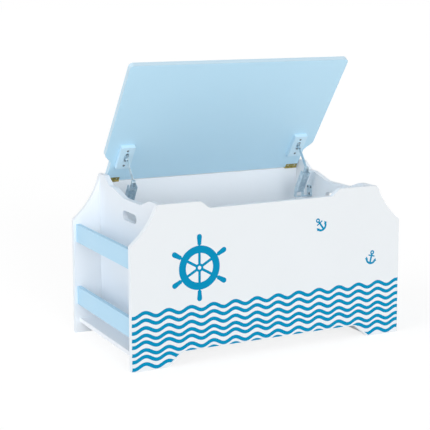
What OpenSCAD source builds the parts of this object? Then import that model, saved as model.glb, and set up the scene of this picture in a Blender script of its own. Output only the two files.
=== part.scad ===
// Children's toy chest with two book shelves at the ends and a hinged lid on folding stays.
// The origin is the middle of the footprint on the floor, +X to the right of the front,
// +Y to the back and +Z up. The lid is drawn as far open as its stays let it go.

/* [Chest] */
// Width over the front and back panels
chest_w = 840; // [760:5:960]
// Depth from the front face to the back face
chest_d = 440; // [400:5:500]
// Thickness of every upright panel
board = 15; // [12:0.5:18]
// Height of the edge that the closed lid rests on
seat_h = 440; // [400:5:480]
// Rise of the back corners above that edge
ear_rise = 25; // [18:1:32]
// Height of the outer ends of the front and back panels
wing_h = 337; // [320:1:360]
// Radius of the hollow curve between an outer end and the top
shoulder_r = 222; // [200:2:300]
// Distance in from a side panel's outer face at which it reaches the back corner's top
ear_step = 2; // [-8:1:3]
// Rounding of the outer corners of the panels
corner_r = 8; // [4:0.5:12]

/* [Front cut-outs] */
// Depth of the lowered stretch along the top
dip = 20; // [12:1:30]
// Distance in from the end at which the lowered stretch starts
dip_in = 216; // [190:2:260]
// Length over which the top drops to the lowered stretch
dip_run = 26; // [20:1:50]
// Rounding of the lowered stretch
dip_r = 15; // [8:1:24]
// Width of a foot on the floor
foot_w = 104; // [80:2:130]
// Height of the arch between the feet
arch_h = 38; // [25:1:50]
// Length over which the arch rises
arch_run = 46; // [30:1:70]
// Rounding of the arch
arch_r = 18; // [8:1:26]

/* [Sides] */
// Distance of a side panel's outer face in from the ends
side_in = 82; // [76:1:100]
// Distance behind the front panel at which the side's top starts to drop
side_front_run = 50; // [30:2:80]
// Length of that drop
side_drop_run = 58; // [40:2:80]
// Length of the level seat in front of the back corner
side_rear_seat = 30; // [20:1:50]
// Length of the climb back up to that seat
side_climb_run = 76; // [50:2:100]
// Length of the raised corner at the back
side_ear_len = 38; // [20:1:50]
// Length of the climb up to the raised corner
side_ear_run = 38; // [30:1:60]
// Rounding of the raised corner's front end
side_ear_r = 10; // [4:1:14]
// Rounding at the foot of the climb to it
side_foot_r = 20; // [8:1:30]
// Rounding of the climb to the level seat, at both its ends
side_rear_r = 60; // [30:2:80]
// Rounding of the drop at the front, at both its ends
side_front_r = 40; // [20:2:50]
// Length of the finger slot
slot_len = 97; // [80:1:120]
// Height of the finger slot
slot_h = 26; // [20:1:34]
// Depth of the finger slot's top edge below the side's lowered top
slot_below = 33; // [24:1:60]
// Distance of the slot's middle behind the front face
slot_back = 201; // [180:1:220]

/* [Shelves] */
// Thickness of the end shelves and of the chest floor
shelf_t = 12; // [9:0.5:15]
// Height of an end shelf's top
shelf_top = 43; // [30:1:60]
// Distance of a shelf's edge in from the ends
shelf_in = 15; // [8:1:30]
// Height of the chest floor's top
floor_top = 60; // [52:1:90]
// Width of the battens under the chest floor
batten_w = 18; // [12:1:30]
// Height of those battens
batten_h = 20; // [12:1:24]
// Height of a slat
slat_h = 52; // [40:1:70]
// Thickness of a slat
slat_t = 12; // [9:0.5:18]
// Distance of a slat's face in from the ends
slat_in = 8; // [4:1:14]
// Height of the lower slat's bottom edge
slat_low = 87; // [75:1:110]
// Height of the upper slat's bottom edge
slat_high = 271; // [240:1:276]

/* [Lid] */
// Width of the lid
lid_w = 690; // [680:2:760]
// Thickness of the lid
lid_t = 15; // [12:0.5:18]
// Overhang of the closed lid over the front face
lid_over = 15; // [5:1:30]
// Rounding of the lid's front corners
lid_corner_r = 12; // [6:1:25]
// Gap between the closed lid and its seat
lid_gap = 0.5; // [0.3:0.1:2]
// Clearance of the lid's narrow tongue to each side panel
tongue_gap = 2; // [1:0.5:6]
// Clearance of the lid's wide part to the raised corners
notch_gap = 3; // [2:0.5:8]
// Length over which the tongue widens
notch_run = 28; // [24:1:60]
// Rounding of that widening
notch_r = 16; // [8:1:18]
// Angle to which the lid opens
lid_open = 53.3; // [40:0.1:75]

/* [Hinges] */
// Length of a butt hinge
hinge_len = 40; // [30:2:60]
// Width of a hinge leaf from the pin
leaf_w = 15; // [12:0.5:15.5]
// Thickness of a hinge leaf
leaf_t = 1.2; // [0.8:0.1:1.6]
// Radius of the hinge's barrel
barrel_r = 2.6; // [2.2:0.1:3.2]
// Radius of the hinge pin
hinge_pin_r = 1.2; // [0.8:0.1:1.4]
// Distance of a hinge from the tongue's edge
hinge_inset = 1; // [0.5:0.5:20]
// Gap between the barrel and the wood, and between its knuckles
hinge_gap = 0.35; // [0.3:0.05:0.8]

/* [Lid stays] */
// Distance of a stay's middle plane in from the ends
stay_in = 135; // [128:1:160]
// Width of the wooden block under the lid
block_w = 43; // [32:1:50]
// Length of the block
block_len = 82; // [70:1:100]
// Thickness of the block
block_t = 12; // [8:0.5:12.5]
// Distance of the block's near end from the hinge pin
block_start = 61; // [45:1:70]
// Distance of the block's screws in from its ends
block_screw_in = 12.5; // [9:0.5:14]
// Distance of the arm's upper pivot from the hinge pin along the lid
lid_pivot_out = 107; // [98:1:110]
// Depth of that pivot below the hinge pin, square to the lid
lid_pivot_drop = 21; // [20.5:0.5:26]
// Length of the arm between its pivots
arm_len = 75; // [72:1:82]
// Length of the stay's body between its pivots
body_len = 85; // [82:1:92]
// Distance of the body's lower pivot in front of the hinge pin
side_pivot_out = 81; // [76:1:88]
// Depth of the body's lower pivot below the hinge pin
side_pivot_drop = 60; // [54:1:64]
// Width of the stay's pressed steel body
body_w = 24; // [23:1:32]
// Depth of the body's channel
body_deep = 17; // [17:1:23]
// Thickness of the pressed sheet
sheet = 1.5; // [1.2:0.1:2]
// Thickness of the arm
arm_t = 2; // [1.6:0.1:2.6]
// Width of the arm
arm_w = 11; // [9:0.5:13]
// Radius of the stay's rivets
rivet_r = 2; // [1.6:0.1:2.5]
// Clearance round the rivet in the arm's lower eye
knee_play = 3.2; // [3:0.1:3.6]
// Side gap between parts that turn past each other
side_gap = 0.5; // [0.4:0.1:1]
// Running clearance of a rivet or pin in its hole
run_gap = 0.05; // [0.03:0.01:0.08]
// Half of the length of the bracket's plate on the block
lid_plate_half = 16; // [15:0.5:18]
// Half of the length of the bracket's plate on the side panel
side_plate_half = 14; // [13:0.5:17]
// Depth of that plate and of the bracket's floor below the lower pivot
side_plate_low = 20; // [19:0.5:24]
// Height of that plate above the lower pivot
side_plate_high = 14; // [13:0.5:18]
// Distance of the plate's upper screws in front of and behind the lower pivot
side_screw_out = 9; // [8:0.5:9.5]
// Height of the plate's upper screws above the lower pivot
side_screw_up = 8; // [7:0.5:9]
// Depth of the plate's lower screw below the lower pivot
side_screw_down = 13; // [12:0.5:14]

/* [Screws and fittings] */
// Radius of a screw's shank
screw_r = 1.5; // [1:0.1:1.8]
// Radius of a screw's head
head_r = 3.6; // [2.4:0.1:3.7]
// Size of the lid bracket's screws as a share of the other screws
small_screw = 0.8; // [0.7:0.05:0.9]
// Length of a screw
screw_len = 11; // [8:0.5:11.5]
// Radius of a connecting fitting let into the side panels
cam_r = 7.5; // [6:0.5:10]
// Depth of that fitting
cam_deep = 9; // [6:0.5:10]
// Distance of a fitting's middle from the panel that it draws up
cam_in = 24; // [16:1:34]
// Gap between a fitting or a screw and the wood round it
fit_gap = 0.1; // [0.05:0.05:0.2]

/* [Hidden] */
$fn = 64;

white = "white";
pale_blue = "lightblue";
steel = "silver";
brass = "goldenrod";

half_w = chest_w / 2;
front_y = -chest_d / 2;
back_y = chest_d / 2;
inner_d = chest_d - 2 * board;
ear_h = seat_h + ear_rise;
side_x = half_w - side_in;
inner_x = side_x - board;
ear_in = side_in + ear_step;

// Centre of the hollow shoulder curve, which passes through the outer end's top and the
// top of the back corner
shoulder_low = [0, wing_h];
shoulder_top = [ear_in, ear_h];
shoulder_c = arc_centre(shoulder_low, shoulder_top, shoulder_r);

// The hinge pin lies just in front of the back panel's top edge
leaf_bottom = seat_h;
pin_z = leaf_bottom + leaf_t / 2;
pin_y = back_y - board - barrel_r - hinge_gap;
lid_z = seat_h + lid_gap - pin_z;
lid_len = pin_y - front_y + lid_over;
tongue_start = barrel_r + hinge_gap;
tongue_x = inner_x - tongue_gap;
ear_start = pin_y - (back_y - board - side_ear_len - side_ear_run);
notch_end = ear_start + notch_gap;
hinge_x = tongue_x - hinge_inset - hinge_len;

// Pivots of a stay in the plane across the chest, as [back, up]
stay_x = half_w - stay_in;
lid_pivot = [pin_y, pin_z] + turned([-lid_pivot_out, -lid_pivot_drop], -lid_open);
side_pivot = [pin_y - side_pivot_out, pin_z - side_pivot_drop];
knee = meeting_point(lid_pivot, arm_len, side_pivot, body_len);
arm_tilt = atan2((knee - lid_pivot)[0], -(knee - lid_pivot)[1]);
body_tilt = atan2(-(knee - side_pivot)[0], (knee - side_pivot)[1]);
block_face = lid_z - block_t;
eye_r = rivet_r + knee_play + 2.6;
knee_head_r = rivet_r + knee_play + 1.2;
fork_gap = arm_t / 2 + side_gap;
fork_out = fork_gap + sheet;
cradle_in = body_w / 2 + side_gap;

function turned(p, a) = [p[0] * cos(a) - p[1] * sin(a), p[0] * sin(a) + p[1] * cos(a)];
function unit(v) = v / norm(v);
function bow(a, b) = unit([a[1] - b[1], b[0] - a[0]]);

// Centre, up and to the left, of the arc of radius r from a to b
function arc_centre(a, b, r) = (a + b) / 2 + bow(a, b) * sqrt(r * r - pow(norm(b - a) / 2, 2));

// The point at distance ra from a and rb from b that lies to the front
function meeting_point(a, ra, b, rb) =
    let (d = norm(a - b), u = unit(a - b), along = (rb * rb - ra * ra + d * d) / (2 * d))
    b + u * along + [-u[1], u[0]] * sqrt(rb * rb - along * along);

// Tangent length and centre of a rounding of radius r at point p between a and c
function half_turn(a, p, c) = acos(unit(a - p) * unit(c - p)) / 2;
function near(a, p, c, r) = p + unit(a - p) * r / tan(half_turn(a, p, c));
function round_c(a, p, c, r) =
    p + unit(unit(a - p) + unit(c - p)) * r / sin(half_turn(a, p, c));
function outward(a, p, c) = cross(p - a, c - p) > 0;

// An outline of [x, y, radius] points, counter-clockwise, with its corners rounded
module rounded(points) {
    n = len(points);
    xy = [for (p = points) [p[0], p[1]]];
    difference() {
        union() {
            polygon([for (i = [0 : n - 1])
                let (a = xy[(i + n - 1) % n], p = xy[i], c = xy[(i + 1) % n], r = points[i][2])
                each r > 0 ? [near(a, p, c, r), near(c, p, a, r)] : [p]]);
            rounding_discs(points, true);
        }
        rounding_discs(points, false);
    }
}

module rounding_discs(points, wanted) {
    n = len(points);
    xy = [for (p = points) [p[0], p[1]]];
    for (i = [0 : n - 1]) {
        a = xy[(i + n - 1) % n];
        c = xy[(i + 1) % n];
        if (points[i][2] > 0 && outward(a, xy[i], c) == wanted)
            translate(round_c(a, xy[i], c, points[i][2])) circle(points[i][2]);
    }
}

// A straight slot of width w between two points on the x axis
module stadium(x0, x1, w) {
    translate([x0, -w / 2]) square([x1 - x0, w]);
    translate([x0, 0]) circle(w / 2);
    translate([x1, 0]) circle(w / 2);
}

// Stands a drawn [x, z] outline up as a board that reaches from y0 back by t
module front_board(y0, t) {
    translate([0, y0 + t, 0]) rotate([90, 0, 0]) linear_extrude(t) children();
}

// Stands a drawn [y, z] outline up as a board that reaches from x0 to the right by t
module side_board(x0, t) {
    translate([x0, 0, 0]) rotate([90, 0, 90]) linear_extrude(t) children();
}

// A cylinder along X from x0 to x1 at [y, z]
module rod_x(x0, x1, r, at = [0, 0]) {
    translate([x0, at[0], at[1]]) rotate([0, 90, 0]) cylinder(h = x1 - x0, r = r);
}

// Puts what is drawn about the hinge pin, with the lid closed, at the open lid's place
module on_lid() {
    translate([0, pin_y, pin_z]) rotate([-lid_open, 0, 0]) children();
}

// Repeats or mirrors what is drawn at the left end
module at_end(side) {
    if (side < 0) children();
    if (side > 0) mirror([1, 0, 0]) children();
}

module both_ends() {
    children();
    mirror([1, 0, 0]) children();
}

// The air above the hollow shoulder of the left end, with both its corners rounded
module shoulder_air(top) {
    c = shoulder_c - [half_w, 0];
    reach = shoulder_r + corner_r;
    low_x = -half_w + corner_r;
    low_c = [low_x, c[1] - sqrt(reach * reach - pow(low_x - c[0], 2))];
    top_z = top - corner_r;
    top_c = [c[0] + sqrt(reach * reach - pow(top_z - c[1], 2)), top_z];
    low_touch = c + unit(low_c - c) * shoulder_r;
    top_touch = c + unit(top_c - c) * shoulder_r;
    difference() {
        union() {
            intersection() {
                translate(c) circle(shoulder_r);
                translate([-half_w - 1, low_c[1]])
                    square([top_c[0] + half_w + 1, top + 1 - low_c[1]]);
            }
            polygon([[-half_w - 1, low_c[1]], [-half_w, low_c[1]], low_touch,
                top_touch, [top_c[0], top], [top_c[0], top + 1], [-half_w - 1, top + 1]]);
        }
        translate(low_c) circle(corner_r);
        translate(top_c) circle(corner_r);
    }
}

// Half of the arched bottom edge, from the middle of the left side out to its foot
function foot_points() = [
    [-half_w, 0, 0],
    [-half_w + foot_w, 0, arch_r],
    [-half_w + foot_w + arch_run, arch_h, arch_r]
];
function mirrored(points) = [for (i = [len(points) - 1 : -1 : 0])
    [-points[i][0], points[i][1], points[i][2]]];

module front_outline() {
    dip_h = seat_h - dip;
    top_left = [
        [-half_w + dip_in + dip_run / 2, dip_h, dip_r],
        [-half_w + dip_in - dip_run / 2, seat_h, dip_r],
        [-half_w, seat_h, 0]
    ];
    difference() {
        rounded(concat(foot_points(), mirrored(foot_points()), mirrored(top_left), top_left));
        both_ends() shoulder_air(seat_h);
    }
}

module back_outline() {
    top_left = [[-inner_x, seat_h, 0], [-inner_x, ear_h, 4], [-half_w, ear_h, 0]];
    difference() {
        rounded(concat(foot_points(), mirrored(foot_points()), mirrored(top_left), top_left));
        both_ends() shoulder_air(ear_h);
    }
}

module front_panel() {
    color(white) front_board(front_y, board) front_outline();
}

module back_panel() {
    color(white) difference() {
        front_board(back_y - board, board) back_outline();
        both_ends() base_leaf_holes(screw_r + fit_gap, screw_len + leaf_t + 1);
    }
}

// A side panel in its own plane, with the lowered top, the finger slot and the back corner
module side_outline() {
    y0 = front_y + board;
    y1 = back_y - board;
    low = seat_h - dip;
    ear_y = y1 - side_ear_len;
    rise_y = ear_y - side_ear_run;
    climb_y = rise_y - side_rear_seat;
    difference() {
        rounded([
            [y0, 0, 0], [y1, 0, 0], [y1, ear_h, 0],
            [ear_y, ear_h, side_ear_r], [rise_y, seat_h, side_foot_r],
            [climb_y, seat_h, side_rear_r], [climb_y - side_climb_run, low, side_rear_r],
            [y0 + side_front_run + side_drop_run, low, side_front_r],
            [y0 + side_front_run, seat_h, side_front_r], [y0, seat_h, 0]
        ]);
        slot_z = low - slot_below - slot_h / 2;
        translate([front_y + slot_back, slot_z])
            stadium(-(slot_len - slot_h) / 2, (slot_len - slot_h) / 2, slot_h);
    }
}

// Middles of the connecting fittings on a side panel, as [back, up]
cam_at = [for (y = [front_y + board + cam_in, back_y - board - cam_in])
    for (z = [floor_top + 3 * cam_r, wing_h - 3 * cam_r]) [y, z]];

module side_panel(side) {
    color(white) at_end(side) difference() {
        side_board(-side_x, board) side_outline();
        for (p = cam_at) rod_x(-inner_x - cam_deep, -inner_x + 1, cam_r + fit_gap, p);
        side_bracket_holes(screw_r + fit_gap);
    }
}

module side_panel_left() { side_panel(-1); }
module side_panel_right() { side_panel(1); }

module cam_fittings() {
    color(steel) both_ends() for (p = cam_at) difference() {
        rod_x(-inner_x - cam_deep, -inner_x, cam_r, p);
        translate([-inner_x - 1, p[0], p[1]]) rotate([0, 90, 0]) cross_slot(cam_r);
    }
}

// A cross recess for a screwdriver, one unit deep
module cross_slot(r) {
    for (a = [0, 90]) rotate([0, 0, a]) translate([-r / 2, -r / 10, 0]) cube([r, r / 5, 2]);
}

module chest_floor() {
    color(white) translate([-inner_x, front_y + board, floor_top - shelf_t])
        cube([2 * inner_x, inner_d, shelf_t]);
}

module floor_batten(side) {
    color(white) at_end(side)
        translate([-inner_x, front_y + board, floor_top - shelf_t - batten_h])
            cube([batten_w, inner_d, batten_h]);
}

module floor_batten_left() { floor_batten(-1); }
module floor_batten_right() { floor_batten(1); }

module shelf(side) {
    color(white) at_end(side)
        translate([-half_w + shelf_in, front_y + board, shelf_top - shelf_t])
            cube([side_in - shelf_in, inner_d, shelf_t]);
}

module shelf_left() { shelf(-1); }
module shelf_right() { shelf(1); }

module slat(side, z) {
    color(pale_blue) at_end(side) translate([-half_w + slat_in, front_y + board, z])
        cube([slat_t, inner_d, slat_h]);
}

module slat_lower_left() { slat(-1, slat_low); }
module slat_upper_left() { slat(-1, slat_high); }
module slat_lower_right() { slat(1, slat_low); }
module slat_upper_right() { slat(1, slat_high); }

// The lid in its own plane: x across, and distance from the hinge pin as -y
module lid_outline() {
    near_y = -notch_end;
    wide_y = near_y - notch_run;
    lid_x = lid_w / 2;
    left = [
        [-lid_x, -lid_len, lid_corner_r], [lid_x, -lid_len, lid_corner_r],
        [lid_x, wide_y, notch_r], [tongue_x, near_y, notch_r], [tongue_x, -tongue_start, 0],
        [-tongue_x, -tongue_start, 0], [-tongue_x, near_y, notch_r], [-lid_x, wide_y, notch_r]
    ];
    rounded(left);
}

module lid() {
    recess = leaf_t / 2 - lid_z;
    color(pale_blue) on_lid() difference() {
        translate([0, 0, lid_z]) linear_extrude(lid_t) lid_outline();
        both_ends() {
            translate([-hinge_x - hinge_len - fit_gap, -leaf_w - fit_gap, lid_z - 1])
                cube([hinge_len + 2 * fit_gap, leaf_w + fit_gap, recess + 1]);
            lid_leaf_holes(screw_r + fit_gap, leaf_t / 2 + screw_len - leaf_t);
            block_screw_holes(screw_r + fit_gap);
        }
    }
}

// Two screw places on a hinge leaf, as [x, distance from the pin]
leaf_screw_at = [for (k = [0.22, 0.78])
    [-hinge_x - hinge_len * k, (barrel_r + hinge_gap + leaf_w) / 2 + 0.4]];

module base_leaf_holes(r, deep) {
    for (p = leaf_screw_at)
        translate([p[0], pin_y + p[1], pin_z + leaf_t / 2 - deep]) cylinder(h = deep + 1, r = r);
}

module lid_leaf_holes(r, deep) {
    for (p = leaf_screw_at) translate([p[0], -p[1], -leaf_t]) cylinder(h = leaf_t + deep, r = r);
}

// The knuckles of one leaf along its pin: every second fifth of the length
module knuckles(first) {
    step = hinge_len / 5;
    for (k = [first : 2 : 4])
        rod_x(-hinge_x - hinge_len + k * step + hinge_gap / 2,
            -hinge_x - hinge_len + (k + 1) * step - hinge_gap / 2, barrel_r);
}

// A leaf about the pin, reaching in the +Y direction, countersunk from above
module leaf(first) {
    start = barrel_r + hinge_gap;
    step = hinge_len / 5;
    difference() {
        union() {
            translate([-hinge_x - hinge_len, start, -leaf_t / 2])
                cube([hinge_len, leaf_w - start, leaf_t]);
            for (k = [first : 2 : 4])
                translate([-hinge_x - hinge_len + k * step + hinge_gap / 2, 0, -leaf_t / 2])
                    cube([step - hinge_gap, start, leaf_t]);
            knuckles(first);
        }
        rod_x(-hinge_x - hinge_len - 1, -hinge_x + 1, hinge_pin_r + run_gap);
        for (p = leaf_screw_at) translate([p[0], p[1], 0]) {
            cylinder(h = 2 * leaf_t, r = screw_r + fit_gap, center = true);
            translate([0, 0, leaf_t / 2 - 1]) cylinder(h = 1, r1 = screw_r + fit_gap,
                r2 = screw_r + fit_gap + 1);
        }
    }
}

module hinge_base_leaf(side) {
    color(brass) at_end(side) translate([0, pin_y, pin_z]) leaf(0);
}

module hinge_lid_leaf(side) {
    color(brass) at_end(side) on_lid() rotate([180, 0, 0]) leaf(1);
}

module hinge_base_leaf_left() { hinge_base_leaf(-1); }
module hinge_base_leaf_right() { hinge_base_leaf(1); }
module hinge_lid_leaf_left() { hinge_lid_leaf(-1); }
module hinge_lid_leaf_right() { hinge_lid_leaf(1); }

module hinge_pins() {
    color(brass) both_ends()
        rod_x(-hinge_x - hinge_len, -hinge_x, hinge_pin_r, [pin_y, pin_z]);
}

// A countersunk screw with its head up at the origin and a cross recess
module sunk_screw(length) {
    difference() {
        union() {
            translate([0, 0, -length]) cylinder(h = length, r = screw_r);
            translate([0, 0, -1]) cylinder(h = 1, r1 = screw_r, r2 = screw_r + 1);
        }
        translate([0, 0, -0.5]) cross_slot(screw_r + 1);
    }
}

module base_hinge_screws() {
    color(brass) both_ends() for (p = leaf_screw_at)
        translate([p[0], pin_y + p[1], pin_z + leaf_t / 2]) sunk_screw(screw_len);
}

module lid_hinge_screws() {
    color(brass) both_ends() on_lid() for (p = leaf_screw_at)
        translate([p[0], -p[1], -leaf_t / 2]) rotate([180, 0, 0]) sunk_screw(screw_len);
}

// A round-headed screw with the head's flat under side at the origin
module pan_screw(length) {
    head_t = head_r * 0.6;
    difference() {
        union() {
            translate([0, 0, -length]) cylinder(h = length, r = screw_r);
            intersection() {
                translate([0, 0, head_t - head_r * 1.2]) sphere(head_r * 1.2);
                cylinder(h = head_t, r = head_r);
            }
        }
        translate([0, 0, head_t - 0.8]) cross_slot(head_r);
    }
}

// Screw places through a block into the lid, as [x, distance from the hinge pin]
block_screw_at = [for (d = [block_screw_in, block_len - block_screw_in])
    [-stay_x, block_start + d]];

module block_screw_holes(r) {
    for (p = block_screw_at)
        translate([p[0], -p[1], block_face - 1]) cylinder(h = screw_len + block_t, r = r);
}

module stay_block(side) {
    color(pale_blue) at_end(side) on_lid() difference() {
        translate([-stay_x - block_w / 2, -block_start - block_len, block_face])
            cube([block_w, block_len, block_t]);
        block_screw_holes(screw_r + fit_gap);
        for (p = lid_bracket_screw_at)
            translate([p[0], -p[1], block_face - 1]) cylinder(h = screw_len, r = screw_r + fit_gap);
    }
}

module stay_block_left() { stay_block(-1); }
module stay_block_right() { stay_block(1); }

module block_screws() {
    color(steel) both_ends() on_lid() for (p = block_screw_at)
        translate([p[0], -p[1], block_face]) rotate([180, 0, 0])
            pan_screw(screw_len + block_t - 2);
}

// The lid bracket: a small plate on the block with two ears that hold the arm's upper eye,
// fixed with a smaller size of screw
lid_bracket_screw_at = [for (d = [-1, 1])
    [-stay_x, lid_pivot_out + d * (lid_plate_half - screw_r - 2)]];

module stay_lid_bracket(side) {
    ear_r = rivet_r + 3.5;
    foot_z = block_face - sheet;
    color(steel) at_end(side) on_lid() difference() {
        union() {
            translate([-stay_x, -lid_pivot_out, foot_z]) linear_extrude(sheet)
                rotate(90) stadium(-lid_plate_half + 6, lid_plate_half - 6, 12);
            for (x = [-fork_out, fork_gap]) side_board(-stay_x + x, sheet) {
                translate([-lid_pivot_out, -lid_pivot_drop]) circle(ear_r);
                translate([-lid_pivot_out - ear_r, -lid_pivot_drop])
                    square([2 * ear_r, foot_z + lid_pivot_drop + sheet / 2]);
            }
        }
        rod_x(-stay_x - fork_out - 1, -stay_x + fork_out + 1, rivet_r + run_gap,
            [-lid_pivot_out, -lid_pivot_drop]);
        for (p = lid_bracket_screw_at)
            translate([p[0], -p[1], foot_z - 1]) cylinder(h = sheet + 2, r = screw_r + fit_gap);
    }
}

module stay_lid_bracket_left() { stay_lid_bracket(-1); }
module stay_lid_bracket_right() { stay_lid_bracket(1); }

module lid_bracket_screws() {
    color(steel) both_ends() on_lid() for (p = lid_bracket_screw_at)
        translate([p[0], -p[1], block_face - sheet]) rotate([180, 0, 0])
            scale(small_screw) pan_screw(screw_len);
}

// A rivet along X with a flat head on each end
module rivet(x0, x1, at, head = rivet_r + 1.6) {
    rod_x(x0 - 1.2, x1 + 1.2, rivet_r, at);
    rod_x(x0 - 1.2, x0, head, at);
    rod_x(x1, x1 + 1.2, head, at);
}

module stay_lid_rivets() {
    color(steel) both_ends() on_lid()
        rivet(-stay_x - fork_out, -stay_x + fork_out, [-lid_pivot_out, -lid_pivot_drop]);
}

// The arm hangs from its upper eye at the origin down to its larger lower eye
module arm_outline() {
    difference() {
        union() {
            circle(arm_w / 2 + 0.5);
            translate([-arm_w / 2, -arm_len]) square([arm_w, arm_len]);
            translate([0, -arm_len]) circle(eye_r);
        }
        circle(rivet_r + run_gap);
        translate([0, -arm_len]) circle(rivet_r + knee_play);
    }
}

module stay_arm(side) {
    color(steel) at_end(side) translate([0, lid_pivot[0], lid_pivot[1]])
        rotate([arm_tilt, 0, 0]) side_board(-stay_x - arm_t / 2, arm_t) arm_outline();
}

module stay_arm_left() { stay_arm(-1); }
module stay_arm_right() { stay_arm(1); }

// Places what is drawn up from the lower pivot at the stay's body
module on_body(side) {
    at_end(side) translate([-stay_x, side_pivot[0], side_pivot[1]])
        rotate([body_tilt, 0, 0]) children();
}

// One cheek of the channel, with its rounded lower end about the pivot
module cheek_outline() {
    front = body_deep / 2;
    top = body_len - eye_r - 3;
    rounded([[-front, -front, front - 0.5], [front, -front, front - 0.5], [front, top, 5],
        [-front, top, 2]]);
}

module fork_outline() {
    neck = knee_head_r + 0.8;
    rounded([[-body_deep / 2 + sheet / 2, body_len * 0.5, 0], [neck, body_len * 0.5, 3],
        [neck, body_len + neck, neck - 0.4], [-neck, body_len + neck, neck - 0.4],
        [-neck, body_len - 2 * neck, 4], [-body_deep / 2 + sheet / 2, body_len - 2 * neck - 3, 0]]);
}

// A raised rib with round ends, standing on the origin
module ridge(length, r) {
    rotate_extrude() intersection() {
        translate([0, r]) union() {
            circle(r);
            translate([0, length - 2 * r]) circle(r);
            square([r, length - 2 * r]);
        }
        square([r + 1, length]);
    }
}

// The body: a pressed channel that is open to the back, two ridges down its front and a
// fork at its upper end, between whose tines the arm's eye turns
module stay_body(side) {
    top = body_len - eye_r - 3;
    color(steel) on_body(side) difference() {
        union() {
            for (x = [-body_w / 2, body_w / 2 - sheet]) side_board(x, sheet) cheek_outline();
            translate([-body_w / 2, -body_deep / 2, 0]) cube([body_w, sheet, top - 2]);
            for (x = [-fork_out - 1, fork_gap + 1]) side_board(x, sheet) fork_outline();
            for (x = [-1, 1]) translate([x * body_w * 0.27, -body_deep / 2 + sheet / 2, 8])
                ridge(top - 18, body_w * 0.09);
        }
        rod_x(-body_w, body_w, rivet_r + run_gap);
        rod_x(-body_w, body_w, rivet_r + run_gap, [0, body_len]);
        translate([0, 0, top - 12]) rotate([90, 0, 0]) cylinder(h = body_deep, r = 2);
    }
}

module stay_body_left() { stay_body(-1); }
module stay_body_right() { stay_body(1); }

module stay_knee_rivet(side) {
    color(steel) on_body(side)
        rivet(-fork_out - 1, fork_out + 1, [0, body_len], knee_head_r);
}

module stay_knee_rivet_left() { stay_knee_rivet(-1); }
module stay_knee_rivet_right() { stay_knee_rivet(1); }

module stay_side_rivets() {
    color(steel) both_ends() translate([-stay_x, 0, 0])
        rivet(-cradle_in - sheet, cradle_in + sheet, side_pivot);
}

// The side bracket: a plate on the side panel, a floor across, and two ears that hold the
// lower end of the stay's body between them
side_bracket_screw_at = [side_pivot + [-side_screw_out, side_screw_up],
    side_pivot + [side_screw_out, side_screw_up], side_pivot + [0, -side_screw_down]];

module side_bracket_holes(r) {
    for (p = side_bracket_screw_at) rod_x(-inner_x - screw_len - 0.5, -inner_x + 1, r, p);
}

module stay_side_bracket(side) {
    far = -stay_x + cradle_in + sheet;
    ear_r = rivet_r + 4;
    low_z = side_pivot[1] - side_plate_low;
    half = side_plate_half;
    color(steel) at_end(side) difference() {
        union() {
            side_board(-inner_x, sheet) translate(side_pivot)
                rounded([[-half, -side_plate_low, 0], [half, -side_plate_low, 0],
                    [half, side_plate_high, 5], [-half, side_plate_high, 5]]);
            translate([-inner_x, side_pivot[0] - half + 5, low_z])
                cube([far + inner_x, 2 * half - 10, sheet]);
            for (x = [-cradle_in - sheet, cradle_in]) side_board(-stay_x + x, sheet)
                translate(side_pivot) cradle_ear(ear_r);
        }
        rod_x(-stay_x - cradle_in - sheet - 1, far + 1, rivet_r + run_gap, side_pivot);
        for (p = side_bracket_screw_at)
            rod_x(-inner_x - 1, -inner_x + sheet + 1, screw_r + fit_gap, p);
    }
}

module cradle_ear(r) {
    circle(r);
    foot = side_plate_half - 5;
    polygon([[-r, 0], [-foot, -side_plate_low], [foot, -side_plate_low], [r, 0]]);
}

module stay_side_bracket_left() { stay_side_bracket(-1); }
module stay_side_bracket_right() { stay_side_bracket(1); }

module side_bracket_screws() {
    color(steel) both_ends() for (p = side_bracket_screw_at)
        translate([-inner_x + sheet, p[0], p[1]]) rotate([0, 90, 0]) pan_screw(screw_len);
}

front_panel();
back_panel();
side_panel_left();
side_panel_right();
chest_floor();
floor_batten_left();
floor_batten_right();
shelf_left();
shelf_right();
slat_lower_left();
slat_upper_left();
slat_lower_right();
slat_upper_right();
lid();
hinge_base_leaf_left();
hinge_base_leaf_right();
hinge_lid_leaf_left();
hinge_lid_leaf_right();
hinge_pins();
base_hinge_screws();
lid_hinge_screws();
stay_block_left();
stay_block_right();
stay_lid_bracket_left();
stay_lid_bracket_right();
stay_arm_left();
stay_arm_right();
stay_body_left();
stay_body_right();
stay_knee_rivet_left();
stay_knee_rivet_right();
stay_side_bracket_left();
stay_side_bracket_right();
stay_lid_rivets();
stay_side_rivets();
block_screws();
lid_bracket_screws();
side_bracket_screws();
cam_fittings();
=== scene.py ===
# %% [markdown]
# # A children's toy chest with book shelves at both ends
#
# The chest is made of flat boards of lacquered fibreboard, with a lid on two brass hinges and
# two folding steel stays. Its solids come ready made from the CAD model. This lesson gives
# them their softened edges, lacquer, metal and printed ornament, and then lights and
# photographs them. Everything is in metres, with the origin in the middle of the footprint
# on the floor, +X to the right of the front, +Y to the back and +Z up.

# %% Load the frame
import math

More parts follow.
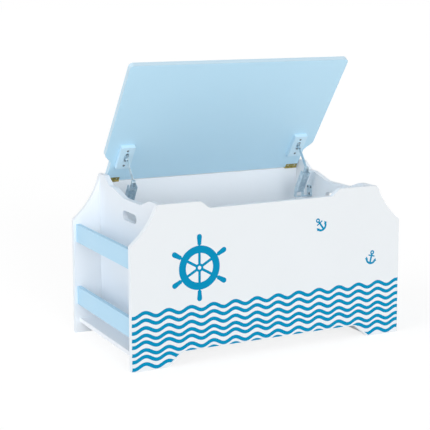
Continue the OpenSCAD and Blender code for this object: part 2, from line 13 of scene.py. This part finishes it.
import bpy
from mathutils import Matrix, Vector


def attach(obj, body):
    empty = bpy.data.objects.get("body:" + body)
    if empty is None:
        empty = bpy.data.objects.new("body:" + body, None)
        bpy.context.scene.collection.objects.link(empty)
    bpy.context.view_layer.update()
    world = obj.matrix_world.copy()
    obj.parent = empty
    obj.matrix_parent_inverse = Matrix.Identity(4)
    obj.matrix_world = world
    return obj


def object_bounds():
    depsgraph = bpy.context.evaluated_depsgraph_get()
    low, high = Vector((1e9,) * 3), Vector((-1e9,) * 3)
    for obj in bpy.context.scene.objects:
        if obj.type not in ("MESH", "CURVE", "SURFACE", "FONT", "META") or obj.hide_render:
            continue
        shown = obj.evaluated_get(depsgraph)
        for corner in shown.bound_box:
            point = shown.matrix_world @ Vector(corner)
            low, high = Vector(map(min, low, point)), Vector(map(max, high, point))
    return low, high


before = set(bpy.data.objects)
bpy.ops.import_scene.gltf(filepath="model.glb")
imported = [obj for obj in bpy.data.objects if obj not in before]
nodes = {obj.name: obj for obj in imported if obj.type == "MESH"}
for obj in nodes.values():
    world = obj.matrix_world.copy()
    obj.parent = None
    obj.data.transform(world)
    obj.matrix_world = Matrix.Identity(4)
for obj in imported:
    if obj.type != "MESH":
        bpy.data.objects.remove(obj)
cad_low, cad_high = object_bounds()
mm = 0.001
print("pieces in the frame:", len(nodes))
print("size of the chest in mm:", [round(v / mm) for v in cad_high - cad_low])

# %% [markdown]
# ## The camera first
#
# The chest was photographed with a long lens from the front and left, from a metre above the
# floor, and its upright edges come out almost parallel. A level camera with a lens shifted far
# down would draw them so. But a shift stays with the lens when the camera walks round the
# chest, and a large one would push the chest out of every other view. So the camera looks
# down at the chest, with only a small shift to frame it. It stands where the corners of the
# boards and of the lid come closest to their places in the photograph, most of them within a
# pixel or two. Its position is measured from the front's lower left corner.

# %% Place the camera
front_left = Vector((cad_low.x, cad_low.y, 0))
camera_from_corner = Vector((-1158.7, -2810.5, 991.0)) * mm
camera_turn = math.radians(27.78)
camera_tilt = math.radians(8.2)
lens_in_pixels = 1199.9
lens_shift = (-0.06, -0.12)
picture_width = 430

camera_data = bpy.data.cameras.new("camera")
camera_data.sensor_width = 36
camera_data.lens = lens_in_pixels / picture_width * camera_data.sensor_width
camera_data.shift_x, camera_data.shift_y = lens_shift
camera = bpy.data.objects.new("camera", camera_data)
camera.location = front_left + camera_from_corner
camera.rotation_euler = (math.pi / 2 - camera_tilt, 0, -camera_turn)
bpy.context.scene.collection.objects.link(camera)
bpy.context.scene.camera = camera
print("lens in mm:", round(camera_data.lens, 1))
print("degrees down and to the right:", round(math.degrees(camera_tilt), 1),
      round(math.degrees(camera_turn), 1))

# %% [markdown]
# ## Helpers for colours and shader nodes
#
# Paint colours are easiest to read as sRGB hex values, but a shader works in linear light, so
# one function turns the one into the other. A second function adds a shader node together
# with its settings and the sockets that feed it, which keeps each material short.

# %% Turn a hex colour to linear light
def linear(hex_colour):
    levels = [int(hex_colour[i:i + 2], 16) / 255 for i in (1, 3, 5)]
    return (*[v / 12.92 if v <= 0.04045 else ((v + 0.055) / 1.055) ** 2.4 for v in levels], 1)


# %% Add a shader node with its settings and links
def add(tree, kind, feeds=None, **settings):
    made = tree.nodes.new(kind)
    for name, value in settings.items():
        setattr(made, name, value)
    for name, value in (feeds or {}).items():
        if isinstance(value, bpy.types.NodeSocket):
            tree.links.new(value, made.inputs[name])
        else:
            made.inputs[name].default_value = value
    return made


def new_material(name):
    material = bpy.data.materials.new(name)
    material.use_nodes = True
    material.node_tree.nodes.clear()
    return material, material.node_tree


# %% [markdown]
# ## Lacquered fibreboard
#
# The boards are medium-density fibreboard, cut by a router and sprayed with satin lacquer.
# A sprayed film is never quite flat: it dries with a faint orange peel about 2 mm across, and
# its gloss drifts a little over a hand's width. The cut edges drink more lacquer than the
# pressed faces, so they stay rougher and show the sanded fibres. Their colour is set apart too:
# by default the darker end of the face's drift, on the printed front a lighter one, which is a
# painted highlight, and on the lid a greyer one, which is partly the duller lacquer of a cut
# edge and partly painted shade. A board's edge is told from its face by its normal, so each
# material knows which way its boards' faces look.
#
# The white boards share one lacquer and the blue ones another, but each board has a copy of
# its own in its own colour, and these colours paint in light and shade. The printed front's
# face is a shade greyer than its edges, which is painted shade. The left side, the back, the
# shelves and the right side are a shade whiter than that face; on the back, the shelves and
# the right side this is painted light where the inside of the chest lies in shade. The slats
# are a shade deeper than the lid, which is painted shade, and the lid is lighter, which is
# painted light on its shaded underside. The blocks under the lid are a shade lighter still,
# which is a painted highlight.

# %% Make a satin lacquer
peel_size = 2.2 * mm
peel_depth = 0.035 * mm
peel_strength = 0.6
fibre_size = 0.9 * mm
cloud_size = 140 * mm
cloud_low, cloud_high = 0.3, 0.7
gloss_drift = 0.04
edge_dullness = 0.14
lacquer_ior = 1.5
# A surface counts as a board's face where the cosine between its normal and the board's own
# direction is over the first of these, and as its edge where it is under the second.
face_cosine, edge_cosine = 0.9, 0.4


def lacquered_board(name, colour, shade, face_way, roughness, edge_tone_and_light=None):
    """Satin lacquer in a colour that drifts to a shade, on boards whose faces look face_way."""
    material, tree = new_material(name)
    place = add(tree, "ShaderNodeTexCoord")
    cloud = add(tree, "ShaderNodeTexNoise", {
        "Vector": place.outputs["Object"], "Scale": 1 / cloud_size, "Detail": 3})
    tone = add(tree, "ShaderNodeMix", {
        "Factor": cloud.outputs["Fac"], "A": linear(colour), "B": linear(shade)},
        data_type="RGBA")
    facing = add(tree, "ShaderNodeVectorMath", {
        0: place.outputs["Normal"], 1: face_way}, operation="DOT_PRODUCT")
    flat = add(tree, "ShaderNodeMath", {0: facing.outputs["Value"]}, operation="ABSOLUTE")
    edge = add(tree, "ShaderNodeMapRange", {
        "Value": flat.outputs[0], "From Min": face_cosine, "From Max": edge_cosine})
    # The edges take their own colour: a painted highlight on the printed front, partly painted
    # shade on the lid.
    paint = add(tree, "ShaderNodeMix", {
        "Factor": edge.outputs[0], "A": tone.outputs["Result"],
        "B": linear(edge_tone_and_light or shade)}, data_type="RGBA")
    gloss = add(tree, "ShaderNodeMapRange", {
        "Value": cloud.outputs["Fac"], "From Min": cloud_low, "From Max": cloud_high,
        "To Min": roughness - gloss_drift, "To Max": roughness + gloss_drift})
    dull = add(tree, "ShaderNodeMath", {
        0: edge.outputs[0], 1: edge_dullness, 2: gloss.outputs[0]}, operation="MULTIPLY_ADD")
    peel = add(tree, "ShaderNodeTexNoise", {
        "Vector": place.outputs["Object"], "Scale": 1 / peel_size, "Detail": 1})
    fibre = add(tree, "ShaderNodeTexNoise", {
        "Vector": place.outputs["Object"], "Scale": 1 / fibre_size, "Detail": 4,
        "Roughness": 0.7})
    grain = add(tree, "ShaderNodeMix", {
        "Factor": edge.outputs[0], "A": peel.outputs["Fac"], "B": fibre.outputs["Fac"]})
    relief = add(tree, "ShaderNodeBump", {
        "Height": grain.outputs[0], "Distance": peel_depth, "Strength": peel_strength})
    shader = add(tree, "ShaderNodeBsdfPrincipled", {
        "Base Color": paint.outputs["Result"], "Roughness": dull.outputs[0],
        "Normal": relief.outputs[0], "IOR": lacquer_ior})
    add(tree, "ShaderNodeOutputMaterial", {"Surface": shader.outputs[0]})
    return material


# %% Which way the boards face
lid_open = math.radians(53.3)
across = (1, 0, 0)
forward = (0, 1, 0)
upward = (0, 0, 1)
lid_way = (0, math.sin(lid_open), math.cos(lid_open))
print("the lid's own direction:", [round(v, 2) for v in lid_way])

# %% Mix the two lacquers
white_satin, blue_satin = 0.42, 0.4
# Painted shade on the printed front's face, and a painted highlight on its edges.
printed_white_painted_shade_and_highlight = lacquered_board(
    "white_lacquer_printed", "#E3E7EA", "#E0E4E7", forward, white_satin, edge_tone_and_light="#EEF4FA")
# The back is whiter: painted light on its shaded inner face.
white_back_painted_light = lacquered_board(
    "white_lacquer_back", "#EFF4F9", "#ECF2F8", forward, white_satin)
white_left = lacquered_board(
    "white_lacquer_left_side", "#EAF1F8", "#E7EEF6", across, white_satin)
# The right side is whiter: painted light on its shaded inner face.
white_right_painted_light = lacquered_board(
    "white_lacquer_right_side", "#F5F9FD", "#F2F6FB", across, white_satin)
# The shelves are whiter: painted light where they lie in shade.
white_shelf_painted_light = lacquered_board(
    "white_lacquer_shelf", "#F5F9FD", "#F2F6FB", upward, white_satin)
# The slats are deeper: painted shade.
blue_slat_painted_shade = lacquered_board(
    "pale_blue_lacquer_slat", "#B5DDF5", "#B0DAF3", across, blue_satin)
# The lid is lighter: painted light on its shaded underside. Its greyer edges are partly painted
# shade.
blue_lid_painted_light_and_shade = lacquered_board(
    "pale_blue_lacquer_lid", "#C4E8FB", "#BFE5F9", lid_way, blue_satin, edge_tone_and_light="#C6E0EF")
# The blocks under the lid are lighter still: a painted highlight.
blue_block_painted_light = lacquered_board(
    "pale_blue_lacquer_block", "#D2EFFE", "#CEECFD", lid_way, blue_satin)
print("lacquers:", [m.name for m in bpy.data.materials if "lacquer" in m.name])

# %% [markdown]
# ## Plated steel
#
# The stays are pressed from sheet steel and zinc plated. Bright zinc has a cool grey tone and
# a fine, cloudy sparkle from its crystals. Their screws are zinc plated too, but are given a
# darker, duller grey, which is painted shade for the recesses and shadows in their heads. The
# hinges and their screws are brass plated, which is warmer and a little glossier, with darker
# blushes where the plating is thin. The hinge screws are given a far paler colour than the
# leaves, which is a painted highlight for the glints on their heads. All are true metals, so
# the shader's metallic value is 1 and its IOR stays at the default.

# %% Make a plated metal
crystal_depth = 0.02 * mm
crystal_strength = 0.5
blush_start, blush_full = 0.38, 0.68
smoother, rougher = 0.08, 0.1


def plated_steel(name, colour, blush, roughness, crystal_size, blush_size):
    """A plated film in a colour that blushes in patches, over fine crystals."""
    material, tree = new_material(name)
    place = add(tree, "ShaderNodeTexCoord")
    patch = add(tree, "ShaderNodeTexNoise", {
        "Vector": place.outputs["Object"], "Scale": 1 / blush_size, "Detail": 5})
    spread = add(tree, "ShaderNodeMapRange", {
        "Value": patch.outputs["Fac"], "From Min": blush_start, "From Max": blush_full})
    tone = add(tree, "ShaderNodeMix", {
        "Factor": spread.outputs[0], "A": linear(colour), "B": linear(blush)},
        data_type="RGBA")
    crystal = add(tree, "ShaderNodeTexVoronoi", {
        "Vector": place.outputs["Object"], "Scale": 1 / crystal_size})
    gloss = add(tree, "ShaderNodeMapRange", {
        "Value": crystal.outputs["Distance"], "To Min": roughness - smoother,
        "To Max": roughness + rougher})
    relief = add(tree, "ShaderNodeBump", {
        "Height": crystal.outputs["Distance"], "Distance": crystal_depth,
        "Strength": crystal_strength})
    shader = add(tree, "ShaderNodeBsdfPrincipled", {
        "Base Color": tone.outputs["Result"], "Metallic": 1, "Roughness": gloss.outputs[0],
        "Normal": relief.outputs[0]})
    add(tree, "ShaderNodeOutputMaterial", {"Surface": shader.outputs[0]})
    return material


# %% Plate the stays, the hinges and their screws
zinc = plated_steel("zinc_plated_pressed_steel", "#D6E5ED", "#B7CDD9",
                    roughness=0.36, crystal_size=0.8 * mm, blush_size=9 * mm)
# The screws' darker grey is painted shade for the recesses and shadows in their heads.
zinc_screws_painted_shade = plated_steel("zinc_plated_screw_steel", "#8D989F", "#6F7A82",
                         roughness=0.42, crystal_size=0.5 * mm, blush_size=5 * mm)
brass = plated_steel("brass_plated_steel", "#C6B36E", "#8E8346",
                     roughness=0.32, crystal_size=0.6 * mm, blush_size=6 * mm)
# The hinge screws' pale colour is a painted highlight for the glints on their heads.
brass_screws_painted_highlight = plated_steel("brass_plated_screw_steel", "#F1F1DC", "#DADBBE",
                          roughness=0.3, crystal_size=0.5 * mm, blush_size=5 * mm)
print("metals:", [m.name for m in bpy.data.materials if "plated" in m.name])

# %% [markdown]
# ## Dress the boards and the fittings
#
# A router and a sanding pad leave every board with softly rounded edges, and it is those that
# catch the light in a photograph. The CAD solids have sharp edges, so each board gets three
# modifiers: one joins the triangles of each flat face again, one rounds the edges, and one
# keeps the flat faces flat in shading. The pressed metal gets a much smaller rounding.

# %% Soften a piece's edges
flat_within = math.radians(0.6)
sharp_beyond = math.radians(32)
large_faces_first = 100


def soften(piece, radius, steps):
    for face in piece.data.polygons:
        face.use_smooth = True
    join = piece.modifiers.new("join_flat_faces", "DECIMATE")
    join.decimate_type = "DISSOLVE"
    join.angle_limit = flat_within
    rounding = piece.modifiers.new("rounded_edges", "BEVEL")
    rounding.width = radius
    rounding.segments = steps
    rounding.limit_method = "ANGLE"
    rounding.angle_limit = sharp_beyond
    rounding.use_clamp_overlap = True
    flatten = piece.modifiers.new("flat_faces_shade_flat", "WEIGHTED_NORMAL")
    flatten.weight = large_faces_first


def dress(piece, material, radius, steps):
    piece.data.materials.clear()
    piece.data.materials.append(material)
    soften(piece, radius, steps)


# %% Give every piece its finish
board_edge = 1.5 * mm
slat_edge = 2.0 * mm
metal_edge = 0.2 * mm
board_steps, metal_steps = 3, 2
boards_by_start = [
    ("front_panel", printed_white_painted_shade_and_highlight, board_edge),
    ("back_panel", white_back_painted_light, board_edge),
    ("side_panel_left", white_left, board_edge),
    ("side_panel_right", white_right_painted_light, board_edge),
    (("chest_floor", "floor_batten", "shelf"), white_shelf_painted_light, board_edge),
    ("slat", blue_slat_painted_shade, slat_edge),
    ("stay_block", blue_block_painted_light, slat_edge),
]
metals_by_word = [("hinge_screws", brass_screws_painted_highlight), ("hinge", brass), ("screws", zinc_screws_painted_shade), ("", zinc)]


def finish_of(name):
    """A piece's material, the radius of its edges and the steps in their rounding."""
    if name == "lid":
        return blue_lid_painted_light_and_shade, slat_edge, board_steps
    for start, material, radius in boards_by_start:
        if name.startswith(start):
            return material, radius, board_steps
    metal = next(material for word, material in metals_by_word if word in name)
    return metal, metal_edge, metal_steps


dressed = {}
for name, piece in nodes.items():
    dress(piece, *finish_of(name))
    dressed.setdefault(piece.data.materials[0].name, []).append(name)
for material_name, names in dressed.items():
    print(material_name, len(names))

# %% [markdown]
# ## The printed front
#
# A ship's wheel, two anchors and rows of waves are screen printed on the front in one blue
# ink. A print is a film a few hundredths of a millimetre thick, with crisp edges. The ink is
# full of pigment, so it is duller than the lacquer and mirrors next to nothing, which keeps
# its colour deep: the shader's specular level is well below the usual one. Each motif is
# modelled as that film: a flat shape in the plane of the front, a hair's breadth proud of it.
# The ink lies a little unevenly, as it is pushed through a mesh of about 0.3 mm, drawn here at
# 1 mm so that it shows.

# %% Mix the ink
mesh_size = 1.0 * mm
mesh_depth = 0.02 * mm
mesh_strength = 0.4
ink_cloud_size = 30 * mm
ink_roughness = 0.5
ink_ior = 1.48
ink_specular = 0.06
ink_material, ink_tree = new_material("screen_printed_ink")
ink_place = add(ink_tree, "ShaderNodeTexCoord")
ink_cover = add(ink_tree, "ShaderNodeTexNoise", {
    "Vector": ink_place.outputs["Object"], "Scale": 1 / ink_cloud_size, "Detail": 6})
ink_tone = add(ink_tree, "ShaderNodeMix", {
    "Factor": ink_cover.outputs["Fac"], "A": linear("#0085B0"), "B": linear("#008CB7")},
    data_type="RGBA")
ink_mesh = add(ink_tree, "ShaderNodeTexNoise", {
    "Vector": ink_place.outputs["Object"], "Scale": 1 / mesh_size})
ink_relief = add(ink_tree, "ShaderNodeBump", {
    "Height": ink_mesh.outputs["Fac"], "Distance": mesh_depth, "Strength": mesh_strength})
ink_shader = add(ink_tree, "ShaderNodeBsdfPrincipled", {
    "Base Color": ink_tone.outputs["Result"], "Roughness": ink_roughness,
    "Normal": ink_relief.outputs[0], "IOR": ink_ior, "Specular IOR Level": ink_specular})
add(ink_tree, "ShaderNodeOutputMaterial", {"Surface": ink_shader.outputs[0]})
print("ink:", ink_material.name, "with", len(ink_tree.nodes), "shader nodes")

# %% [markdown]
# A flat motif is easiest as a 2D curve, because Blender fills a closed outline and leaves out
# the holes drawn inside it. The curve is drawn in the XY plane and stood up against the
# front. Motifs that lie over each other get their own height, so that no two films share one
# plane.

# %% Print a motif from closed outlines
ink_film = 0.06 * mm
ink_layer = 0.012 * mm
front_y = cad_low.y


def print_motif(name, outlines, centre, tilt=0, layer=0):
    """Prints closed outlines, given in mm about the centre, turned anticlockwise by tilt."""
    curve = bpy.data.curves.new(name, "CURVE")
    curve.dimensions = "2D"
    curve.fill_mode = "BOTH"
    curve.extrude = ink_film / 2
    for outline in outlines:
        spline = curve.splines.new("POLY")
        spline.points.add(len(outline) - 1)
        for point, (x, z) in zip(spline.points, outline):
            point.co = (x * mm, z * mm, 0, 1)
        spline.use_cyclic_u = True
    motif = bpy.data.objects.new(name, curve)
    bpy.context.scene.collection.objects.link(motif)
    motif.rotation_euler = (math.pi / 2, math.radians(-tilt), 0)
    motif.rotation_mode = "XYZ"
    height = ink_layer * layer
    motif.location = (cad_low.x + centre[0] * mm, front_y - height, centre[1] * mm)
    curve.materials.append(ink_material)
    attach(motif, "chest")


def arc(radius, start, end, centre=(0, 0), steps=24):
    """Points along an arc, with angles in degrees anticlockwise from the right."""
    angles = [math.radians(start + (end - start) * i / steps) for i in range(steps + 1)]
    return [(centre[0] + radius * math.cos(a), centre[1] + radius * math.sin(a)) for a in angles]


def circle(radius, centre=(0, 0)):
    """A circle. Its arc stops short of a full turn, because the outline closes itself."""
    return arc(radius, 0, 345, centre)


# %% [markdown]
# ### The ship's wheel
#
# The wheel has a broad rim, six thin spokes, a small pierced hub and six turned handles, which
# spread from a narrow neck to a shoulder and swell towards the tip. It is drawn as one
# silhouette: the outer line runs along the rim and out round each handle, and the six windows
# and the hole in the hub are holes in it.

# %% Print the wheel
rim_outer, rim_inner = 60.3, 40.0
hub_outer, hub_hole = 11.4, 5.0
spoke_width = 7.5
handle_reach, handle_tip, handle_shoulder, handle_neck = 91.5, 7.3, 5.8, 2.6
shoulder_start, shoulder_end, tip_start = 4, 9, 3
spokes, first_spoke = 6, 30
spoke_step = 360 / spokes
wheel_centre = (197.8, 261.3)


def turned(points, angle):
    a = math.radians(angle)
    return [(x * math.cos(a) - z * math.sin(a), x * math.sin(a) + z * math.cos(a))
            for x, z in points]


def handle_outline():
    """One handle along +x, from its right-hand root round the tip to its left-hand root."""
    root = math.sqrt(rim_outer ** 2 - handle_neck ** 2)
    tip_x = handle_reach - handle_tip
    right = [(root, -handle_neck), (root + shoulder_start, -handle_shoulder),
             (root + shoulder_end, -handle_shoulder), (tip_x - tip_start, -handle_tip)]
    left = [(x, -z) for x, z in reversed(right)]
    return right + arc(handle_tip, -90, 90, (tip_x, 0), 16) + left


def window_outline():
    """One window between two spokes, with its first spoke along +x."""
    outer_edge = math.degrees(math.asin(spoke_width / 2 / rim_inner))
    inner_edge = math.degrees(math.asin(spoke_width / 2 / hub_outer))
    return (arc(rim_inner, outer_edge, spoke_step - outer_edge)
            + arc(hub_outer, spoke_step - inner_edge, inner_edge))


rim_edge = math.degrees(math.asin(handle_neck / rim_outer))
one_sixth = handle_outline() + arc(rim_outer, rim_edge, spoke_step - rim_edge)[1:-1]
spoke_turns = [first_spoke + spoke_step * spoke for spoke in range(spokes)]
silhouette = [point for turn in spoke_turns for point in turned(one_sixth, turn)]
windows = [turned(window_outline(), turn) for turn in spoke_turns]
print_motif("printed_ships_wheel", [silhouette, *windows, circle(hub_hole)], wheel_centre)
print("wheel outline points:", len(silhouette))

# %% [markdown]
# ### The anchors
#
# An anchor is a plain, old form: a ring, a crossbar, a shank, and two arms that curve up to
# pointed flukes. The two small ones are the same, each tilted its own way.

# %% Print the anchors
shank_top, shank_foot, shank_half = 10.5, -15.5, 2.8
ring_outer, ring_inner = 6.6, 2.4
bar_half, bar_width, bar_drop = 10.5, 3.6, 3.6
arm_radius, arm_width, arm_sweep = 15.2, 6.0, 70
fluke_half, fluke_reach, fluke_lean = 5.6, 7.4, 1.2
ring_overlap = 0.8
foot_overlap = 1
straight_down = 270


def rectangle(half_width, low, high):
    """A rectangle that stands across the anchor's middle line."""
    return [(-half_width, low), (half_width, low), (half_width, high), (-half_width, high)]


def arms_outline():
    """Two arms as a crescent below the shank, each ending in a fluke that points up."""
    centre = (0, shank_foot + arm_radius)
    left, right = straight_down - arm_sweep, straight_down + arm_sweep
    outer = arc(arm_radius + arm_width / 2, left, right, centre)
    inner = arc(arm_radius - arm_width / 2, right, left, centre)
    return outer + inner


def fluke_outline(side):
    """A fluke: a small arrow head at the end of one arm, which leans a little outwards."""
    end = math.radians(straight_down + side * arm_sweep)
    x = arm_radius * math.cos(end)
    z = shank_foot + arm_radius + arm_radius * math.sin(end)
    outline = [(x - fluke_half, z - foot_overlap), (x + fluke_half, z - foot_overlap),
               (x + side * fluke_lean, z + fluke_reach)]
    return outline if side > 0 else outline[::-1]


def print_anchor(name, centre, tilt):
    ring_middle = (0, shank_top + ring_outer - ring_overlap)
    bar_z = shank_top - bar_drop
    shank = rectangle(shank_half, shank_foot - foot_overlap, shank_top)
    bar = rectangle(bar_half, bar_z - bar_width / 2, bar_z + bar_width / 2)
    rings = [circle(ring_outer, ring_middle), circle(ring_inner, ring_middle)]
    print_motif(name + "_ring", rings, centre, tilt, 1)
    print_motif(name + "_shank", [shank], centre, tilt, 2)
    print_motif(name + "_bar", [bar], centre, tilt, 3)
    print_motif(name + "_arms", [arms_outline()], centre, tilt, 1)
    for side, label in ((-1, "left"), (1, "right")):
        print_motif(name + "_fluke_" + label, [fluke_outline(side)], centre, tilt, 4)


print_anchor("printed_anchor_upper", centre=(575.0, 342.4), tilt=37)
print_anchor("printed_anchor_lower", centre=(744.6, 230.6), tilt=-14)

# %% [markdown]
# ### The waves
#
# Eight rows of waves run from edge to edge. The lowest rows are cut off by the arch between
# the feet. Each row is a ribbon of constant width along a sine curve. The board's lower edge
# is felt out by casting a ray upwards at each step, and the ribbon is trimmed to it. At the
# arch's slopes the ink stops a few millimetres short, so the ray is also cast to either side.

# %% Find the front's lower edge
front_panel = nodes["front_panel"]
inside_board_y = front_y + 7 * mm
below_floor_z = -20 * mm


def lower_edge(x):
    start = Vector((x, inside_board_y, below_floor_z))
    hit, place, _, _ = front_panel.ray_cast(start, Vector(upward))
    return place.z if hit else 0


print("arch height in mm:", round(lower_edge(0) / mm, 1))

# %% Print the rows of waves
wave_length = 66.2 * mm
wave_swing = 5.9 * mm
wave_stroke = 10.0 * mm
first_crest = 39.5 * mm
wave_lines = [152.1, 132.4, 111.5, 91.2, 73.2, 51.8, 34.0, 13.6]
print_margin = 0.8 * mm
slope_margin = 6 * mm
wave_step = 1.5 * mm
thinnest_ink = 1e-6


def wave_row(middle):
    """Pairs of upper and lower points along one row, trimmed to the board."""
    left, right = cad_low.x + print_margin, cad_high.x - print_margin
    count = round((right - left) / wave_step)
    pairs = []
    for i in range(count + 1):
        x = left + (right - left) * i / count
        phase = 2 * math.pi * (x - cad_low.x - first_crest) / wave_length
        z = middle + wave_swing * math.cos(phase)
        slope = -wave_swing * math.sin(phase) * 2 * math.pi / wave_length
        across_stroke = Vector((-slope, 1)).normalized() * wave_stroke / 2
        pair = []
        for way in (1, -1):
            px = min(max(x + way * across_stroke.x, left), right)
            board_edge_z = max(lower_edge(px + side * slope_margin) for side in (-1, 0, 1))
            pz = max(z + way * across_stroke.y, board_edge_z + print_margin)
            pair.append((px, pz))
        pairs.append(pair)
    return pairs


def print_waves(name, lines):
    points, faces = [], []
    for line in lines:
        row = wave_row(line)
        start = len(points)
        for upper, lower in row:
            points += [(upper[0], front_y, upper[1]), (lower[0], front_y, lower[1])]
        inked = [upper[1] - lower[1] > thinnest_ink for upper, lower in row]
        for i in range(len(row) - 1):
            if inked[i] or inked[i + 1]:
                a = start + 2 * i
                faces.append((a, a + 1, a + 3, a + 2))
    sheet = bpy.data.meshes.new(name)
    sheet.from_pydata(points, [], faces)
    sheet.materials.append(ink_material)
    waves = bpy.data.objects.new(name, sheet)
    bpy.context.scene.collection.objects.link(waves)
    film = waves.modifiers.new("ink_film", "SOLIDIFY")
    film.thickness = ink_film
    film.offset = 0
    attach(waves, "chest")
    return len(faces)


print("faces in the waves:", print_waves("printed_waves", [line * mm for line in wave_lines]))

# %% [markdown]
# ## Floor, backdrop and light
#
# The photograph has a pure white ground with a very soft shadow. The floor is a plain matt
# white. For the camera, for mirrors and for glass, about two thirds of its white is a glow
# instead of lit paint, so it comes out white and keeps a soft shadow of the chest. The world is
# white for the same rays, and lights the chest evenly from all around at half that strength.
# Two wide, soft lights give the boards their shades: a low one from the front, and one from
# the left.

# %% Lay the floor
floor_reach = 60
floor_corners = [(x * floor_reach, y * floor_reach, 0)
                 for x, y in ((-1, -1), (1, -1), (1, 1), (-1, 1))]
floor_mesh = bpy.data.meshes.new("studio_floor")
floor_mesh.from_pydata(floor_corners, [], [(0, 1, 2, 3)])
floor = bpy.data.objects.new("studio_floor", floor_mesh)
bpy.context.scene.collection.objects.link(floor)
print("floor in metres:", 2 * floor_reach, "by", 2 * floor_reach)


# %% Tell the camera's rays from the light that bounces about
def seen_directly(tree):
    """1 for rays from the camera, a mirror or glass, and 0 for the light that bounces about."""
    path = add(tree, "ShaderNodeLightPath")
    mirrored = add(tree, "ShaderNodeMath", {
        0: path.outputs["Is Camera Ray"], 1: path.outputs["Is Glossy Ray"]}, operation="MAXIMUM")
    return add(tree, "ShaderNodeMath", {
        0: mirrored.outputs[0], 1: path.outputs["Is Transmission Ray"]},
        operation="MAXIMUM").outputs[0]


# %% Paint the floor
floor_material, floor_tree = new_material("matt_white_floor")
floor_paint = add(floor_tree, "ShaderNodeBsdfDiffuse", {"Color": linear("#FFFFFF")})
# The glow is a little over 1, because the lit share of the floor stays a little under it.
floor_glow, glowing_share = 1.17, 0.65
floor_white = add(floor_tree, "ShaderNodeEmission", {
    "Color": (1, 1, 1, 1), "Strength": floor_glow})
floor_share = add(floor_tree, "ShaderNodeMath", {
    0: seen_directly(floor_tree), 1: glowing_share}, operation="MULTIPLY")
floor_mix = add(floor_tree, "ShaderNodeMixShader", {
    0: floor_share.outputs[0], 1: floor_paint.outputs[0], 2: floor_white.outputs[0]})
add(floor_tree, "ShaderNodeOutputMaterial", {"Surface": floor_mix.outputs[0]})
floor_mesh.materials.append(floor_material)
print("share of the floor that glows:", glowing_share)

# %% Fill the world with light
world = bpy.data.worlds.new("white_studio")
bpy.context.scene.world = world
world.use_nodes = True
world_tree = world.node_tree
world_tree.nodes.clear()
fill_strength = 0.5
world_level = add(world_tree, "ShaderNodeMapRange", {
    "Value": seen_directly(world_tree), "To Min": fill_strength, "To Max": 1})
world_light = add(world_tree, "ShaderNodeBackground", {
    "Color": (1, 1, 1, 1), "Strength": world_level.outputs[0]})
add(world_tree, "ShaderNodeOutputWorld", {"Surface": world_light.outputs[0]})
print("light from all around:", fill_strength)


# %% Hang the two softboxes
def far_softbox(name, comes_from, spread, strength):
    """A lamp so far away that it is as strong all over the floor. It is spread degrees wide."""
    lamp_data = bpy.data.lights.new(name, "SUN")
    lamp_data.angle = math.radians(spread)
    lamp_data.energy = strength
    lamp = bpy.data.objects.new(name, lamp_data)
    lamp.rotation_euler = Vector(comes_from).to_track_quat("Z", "Y").to_euler()
    bpy.context.scene.collection.objects.link(lamp)


far_softbox("softbox_front", comes_from=(-0.1, -1, 0.18), spread=30, strength=1.55)
far_softbox("softbox_left", comes_from=(-1, -0.15, 0.36), spread=40, strength=1.05)
print("lights:", [lamp.name for lamp in bpy.data.lights])

# %% [markdown]
# ## Finish
#
# Blender shows colours plainly with the Standard view.

# %% Set the view
bpy.context.scene.view_settings.view_transform = "Standard"
